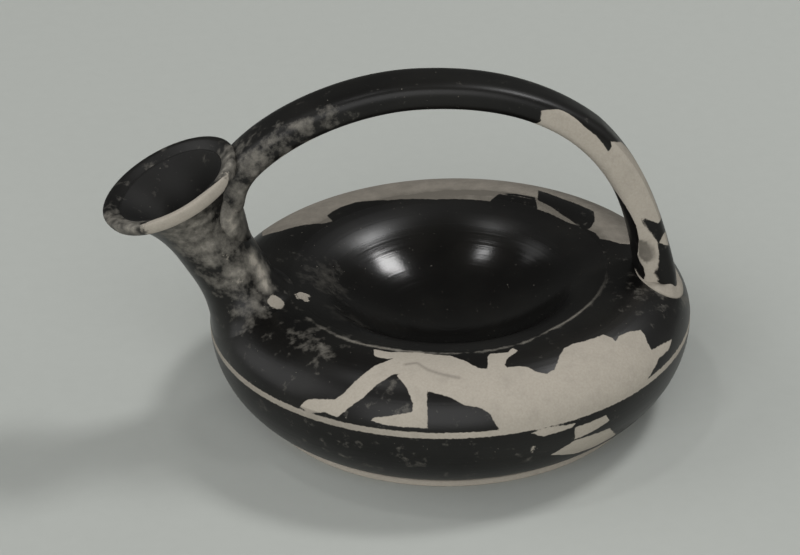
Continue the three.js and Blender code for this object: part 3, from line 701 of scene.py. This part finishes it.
# The strap's bare clay, as millimetres from the top toward the rear and degrees round the section, from 0
# at the middle of the top face through 90 on the near side
STRAP_BARE = [(21, 200), (22, 135), (22.5, 100), (21.6, 84), (23.4, 66), (24.6, 54), (26, 52),
              (28.6, 62), (30.4, 71), (33, 74), (36.7, 84), (36.4, 66), (35.8, 54), (37.2, 30),
              (38.4, 6), (41, -1), (45.3, -4), (48.4, 16), (51, 22), (53.7, 25), (57, 27), (60, 32),
              (66, 27), (74, 24), (74, 170), (67.5, 165), (66.6, 136), (64.7, 120), (63.1, 124),
              (62, 142), (60.6, 150), (59.5, 139), (56.5, 119), (53.6, 114), (51.1, 120), (48.9, 129),
              (46.2, 144), (45, 160), (44, 200)]
STRAP_BLACK = [[(52.2, 92), (53.4, 81), (54.5, 60), (54.3, 20), (57, 20), (57.2, 55), (58.2, 79),
                (56.2, 86), (54, 91)],
               [(58.2, 80), (59, 62), (60, 34), (60, 10), (72, 10), (71, 50), (69.4, 77), (68, 88),
                (64.3, 91), (61.8, 85)]]
STRAP_SMUDGE = [(56.6, 122), (57.2, 94), (59.1, 88), (61.4, 90), (62, 106), (60.8, 140)]
# Rubbed places along the near side of its front, as the same two numbers, a reach and a strength
STRAP_RUBBED = [(-16.6, 62, 3, 0.8), (-18.6, 88, 4, 0.45), (-22.1, 71, 3, 0.95), (-27.6, 84, 6, 0.8),
                (-34.2, 83, 7, 0.9), (-39.6, 91, 6, 0.9), (-31, 130, 6, 0.7), (-45, 100, 5, 1.2),
                (-46, 150, 6, 1.2), (-41, 150, 5, 1.0)]


def handle_path(count):
    """The strap's middle line in the XZ plane: two Bezier curves that meet level at the top."""
    share = np.linspace(0, 1, count)[:, None]
    top = np.array(HANDLE_TOP)
    front = [HANDLE_FRONT, HANDLE_FRONT_PULL, (HANDLE_FRONT_REACH, top[1]), top]
    rear = [top, (HANDLE_REAR_REACH, top[1]), HANDLE_REAR_PULL, HANDLE_REAR]
    front, rear = ([np.array(point) for point in points] for points in (front, rear))
    return np.concatenate([bezier(front, share), bezier(rear, share)[1:]])


def swell(along, stretch):
    """How far each place is into a stretch of the strap: 0 where it starts, then as a square up to 1."""
    start, end = stretch
    return np.clip((along - start) / (end - start), 0, 1)[:, None] ** 2


def handle_strap():
    """A rounded rectangle carried along the handle's path, its sides following a power of the cosine
    and sine, and slid toward the near side by its distance back. Its front end is pressed out to lie
    within the neck's wall, and closes as a quarter circle."""
    path = handle_path(STRAP_ROWS)
    along = length_along(path) - length_along(path)[STRAP_ROWS - 1]
    tangent = np.gradient(path, axis=0)
    tangent /= np.linalg.norm(tangent, axis=1)[:, None]
    upward = np.stack([-tangent[:, 1], tangent[:, 0]], 1)
    turn = np.arange(STRAP_COLUMNS) * (360 / STRAP_COLUMNS) + STRAP_SEAM
    cosine, sine = np.cos(np.radians(turn)), np.sin(np.radians(turn))
    power = 2 / STRAP_SQUARENESS
    out = np.sign(cosine) * np.abs(cosine) ** power * STRAP_THICKNESS / 2
    wide = -np.sign(sine) * np.abs(sine) ** power * STRAP_WIDTH / 2
    root = swell(along, FRONT_ROOT)
    over = LEG_THICKER * swell(along, REAR_LEG) + REAR_THICKER * swell(along, REAR_ROOT)
    out = out * (1 + np.where(out < 0, FRONT_THICKER * root, over))
    nose = np.sqrt(1 - np.clip(1 - (along - along[0]) / NOSE, 0, 0.995)[:, None] ** 2)
    out, wide = out * nose, wide * nose
    x = path[:, :1] + upward[:, :1] * out
    z = path[:, 1:] + upward[:, 1:] * out
    grid = np.stack([x, wide * (1 + FRONT_WIDER * root) + SKEW_SLOPE * (x - SKEW_START), z], -1)
    radius, depth, angle = to_spout(grid)
    wall = flare(NECK_RADIUS, MOUTH_RADIUS, depth) - INTO_NECK
    near_neck = (radius < wall) & (depth > 2) & (depth < COLLAR_DEPTH)
    grid = np.where(near_neck[..., None], from_spout(wall, depth, angle), grid)
    lengths, round_strap = np.meshgrid(along, turn * STRAP_MM_PER_DEGREE, indexing="ij")
    scaled = [[(s, t * STRAP_MM_PER_DEGREE) for s, t in outline] for outline in [STRAP_BARE] + STRAP_BLACK]
    bare = inside_outline(lengths, round_strap, scaled[0])
    for outline in scaled[1:]:
        bare = np.minimum(bare, -inside_outline(lengths, round_strap, outline))
    near_edge = np.exp(-((round_strap / STRAP_MM_PER_DEGREE - WORN_EDGE) / WORN_SPREAD) ** 2)
    worn = 0.5 * near_edge * ((lengths > WORN_STRETCH[0]) & (lengths < WORN_STRETCH[1]))
    rubbed = np.zeros(lengths.shape)
    for place, degrees, reach, strength in STRAP_RUBBED:
        away = np.hypot(lengths - place, round_strap - degrees * STRAP_MM_PER_DEGREE) / reach
        rubbed = np.maximum(rubbed, strength * np.exp(-away ** 2))
    smudge = [(s, t * STRAP_MM_PER_DEGREE) for s, t in STRAP_SMUDGE]
    smudged = np.clip(inside_outline(lengths, round_strap, smudge) / 0.3 + 0.5, 0, 1)
    # Painted shade: the bare clay on the strap's top and far faces is darkened a little, as those faces
    # catch more lamp light
    soil_and_shade = np.maximum(smudged, 0.3 * (round_strap < 45 * STRAP_MM_PER_DEGREE))
    marks = {"bare": np.clip(bare, -4, 4), "worn": worn, "rub_and_sheen": rubbed - 0.42, "matte": 0.04,
             "soil_and_shade": soil_and_shade, "ring": lengths * 0.2}
    return mesh_piece("handle_strap_slip", grid, "poles", marks, OUTER_SLIP, ["handle_strap"])


def pressed_pad(surface, reach_a, reach_b, height, sunk):
    """A low dome of clay on a surface: rings of a flattened oval, raised by a smooth bump that is
    highest in the middle, and closed underneath a little below the surface."""
    share = np.concatenate([np.linspace(0.02, 1, PAD_ROWS), np.linspace(1, 0.02, 6)[1:]])
    above = np.arange(len(share)) < PAD_ROWS
    angle = np.arange(PAD_COLUMNS) * (2 * np.pi / PAD_COLUMNS)
    a = share[:, None] * reach_a * np.cos(angle)
    b = share[:, None] * reach_b * np.sin(angle)
    lift = np.where(above, height * (1 - share ** 2.6) ** 0.6 - 0.05, -sunk)[:, None] + 0 * a
    return surface(a, b, lift)


# The pressed end on the neck's back: its depth below the mouth, its reach and height, and the depths
# between which it thins to a quarter
TONGUE_DEPTH, TONGUE_REACH, TONGUE_HEIGHT, TONGUE_THINS = 11.4, 6.6, 1.9, (10, 17)
TONGUE_WORN = [(-40.3, -5.2, 47.4, 1.8, 0.6), (-40.6, -5.8, 42.8, 1.5, 0.62), (-42, -6, 45, 4, 0.34)]
TONGUE_DULL = [(-42, -6, 44, 8, 1.25)]
# The rear collar: its place on the body's face, its reach and height, and the middle and reach of its bare
# clay
PAD_LENGTH, PAD_DEGREES, PAD_REACH, PAD_HEIGHT = 9.8, -11.6, (5.4, 7.2), 1.1
PAD_X, PAD_Y, PAD_BARE, PAD_FACE_RADIUS = 38.2, -8, 6.2, 38.5
PAD_SUNK = 0.6


def front_tongue():
    """The strap's pressed end on the neck's back, thinning toward its lower end."""
    def on_neck(a, b, lift):
        depth = TONGUE_DEPTH + a
        start, end = TONGUE_THINS
        thinner = 1 - 0.75 * np.clip((depth - start) / (end - start), 0, 1) ** 1.5
        radius = flare(NECK_RADIUS, MOUTH_RADIUS, depth) + np.where(lift > 0, lift * thinner, lift)
        return from_spout(radius, depth, np.pi + b / NECK_RADIUS)
    grid = pressed_pad(on_neck, TONGUE_REACH, TONGUE_REACH, TONGUE_HEIGHT, PAD_SUNK)
    worn, rub_and_sheen = near_places(grid, TONGUE_WORN), near_places(grid, TONGUE_DULL) - 0.3
    marks = {"bare": -4.0, "worn": worn, "rub_and_sheen": rub_and_sheen}
    return mesh_piece("handle_front_tongue_slip", grid, "poles", marks, OUTER_SLIP, ["handle_front_tongue"])


def rear_pad():
    """The collar of clay pressed unevenly round the strap's rear end, its bare clay fading outward."""
    def on_shoulder(a, b, lift):
        azimuth = math.radians(PAD_DEGREES) + b / PAD_FACE_RADIUS
        base = on_body(PAD_LENGTH + a, azimuth)
        uneven = 1 + 0.3 * np.sin(3 * azimuth * PAD_FACE_RADIUS / 4 + a) + 0.2 * np.sin(1.7 * a - b)
        normal = np.stack([0.42 * np.cos(azimuth), 0.42 * np.sin(azimuth), 0.9 + 0 * azimuth], -1)
        return base + normal * np.where(lift > 0, lift * uneven, lift)[..., None]
    grid = pressed_pad(on_shoulder, *PAD_REACH, PAD_HEIGHT, PAD_SUNK)
    away = np.hypot(grid[..., 0] - PAD_X, grid[..., 1] - PAD_Y)
    marks = {"bare": 0.5 - 0.12 * np.clip(away - PAD_BARE, 0, 6), "worn": 0.2, "soil_and_shade": 0.22}
    return mesh_piece("handle_rear_pad_clay", grid, "poles", marks, OUTER_SLIP, ["handle_rear_pad"])


# Stage
def stage_floor():
    """A plain square of card, three metres each way from the middle."""
    size = 3.0
    mesh = bpy.data.meshes.new("floor")
    corners = [(-size, -size, 0), (size, -size, 0), (size, size, 0), (-size, size, 0)]
    mesh.from_pydata(corners, [], [(0, 1, 2, 3)])
    mesh.materials.append(floor_paper())
    floor = bpy.data.objects.new("floor", mesh)
    bpy.context.scene.collection.objects.link(floor)


def lamp(name, direction, distance, size, energy):
    """A soft square lamp at a distance in the given direction, facing the vessel: its width and power."""
    data = bpy.data.lights.new(name, "AREA")
    data.shape = "SQUARE"
    data.size = size
    data.energy = energy
    made = bpy.data.objects.new(name, data)
    bpy.context.scene.collection.objects.link(made)
    toward = Vector(direction).normalized()
    made.location = toward * distance
    made.rotation_euler = toward.to_track_quat("Z", "Y").to_euler()


def light():
    """A key lamp and a smaller one that the sunk centre mirrors, and three broad soft panels."""
    world = bpy.data.worlds.new("studio")
    bpy.context.scene.world = world
    world.use_nodes = True
    background = world.node_tree.nodes["Background"]
    background.inputs["Color"].default_value = linear("a6a8a5")
    background.inputs["Strength"].default_value = 0.24
    lamp("key_lamp", (0.508, 0.198, 0.838), 1.2, 0.24, 4.6)
    lamp("second_lamp", (-0.274, 0.127, 0.953), 1.2, 0.12, 0.8)
    lamp("front_panel", (-0.3, -0.88, 0.44), 2.0, 2.4, 38)
    lamp("right_panel", (0.85, -0.1, 0.52), 2.0, 2.0, 4)
    lamp("left_panel", (-0.85, 0.2, 0.5), 2.0, 1.6, 12)


def camera():
    """Places the camera so that the target falls on its pixel at the stated scale."""
    elevation, turn = math.radians(CAMERA_ELEVATION), math.radians(CAMERA_TURN)
    level = math.cos(elevation)
    back = Vector((-math.sin(turn) * level, -math.cos(turn) * level, math.sin(elevation)))
    data = bpy.data.cameras.new("view")
    data.lens = PIXELS_PER_MM * CAMERA_DISTANCE * data.sensor_width / IMAGE_WIDTH
    data.shift_x = (IMAGE_WIDTH / 2 - TARGET_PIXEL[0]) / IMAGE_WIDTH
    data.shift_y = (TARGET_PIXEL[1] - IMAGE_HEIGHT / 2) / IMAGE_WIDTH
    made = bpy.data.objects.new("view", data)
    bpy.context.scene.collection.objects.link(made)
    made.location = (Vector(TARGET) + back * CAMERA_DISTANCE) * MM
    upright = back.to_track_quat("Z", "Y").to_matrix().to_4x4()
    made.rotation_euler = (upright @ Matrix.Rotation(-math.radians(CAMERA_ROLL), 4, "Z")).to_euler()
    bpy.context.scene.camera = made


foot_disc()
lower_wall()
shoulder()
sunk_centre()
spout_wall()
mouth_lip()
handle_strap()
front_tongue()
rear_pad()
stage_floor()
light()
camera()
bpy.context.scene.view_settings.view_transform = "Standard"
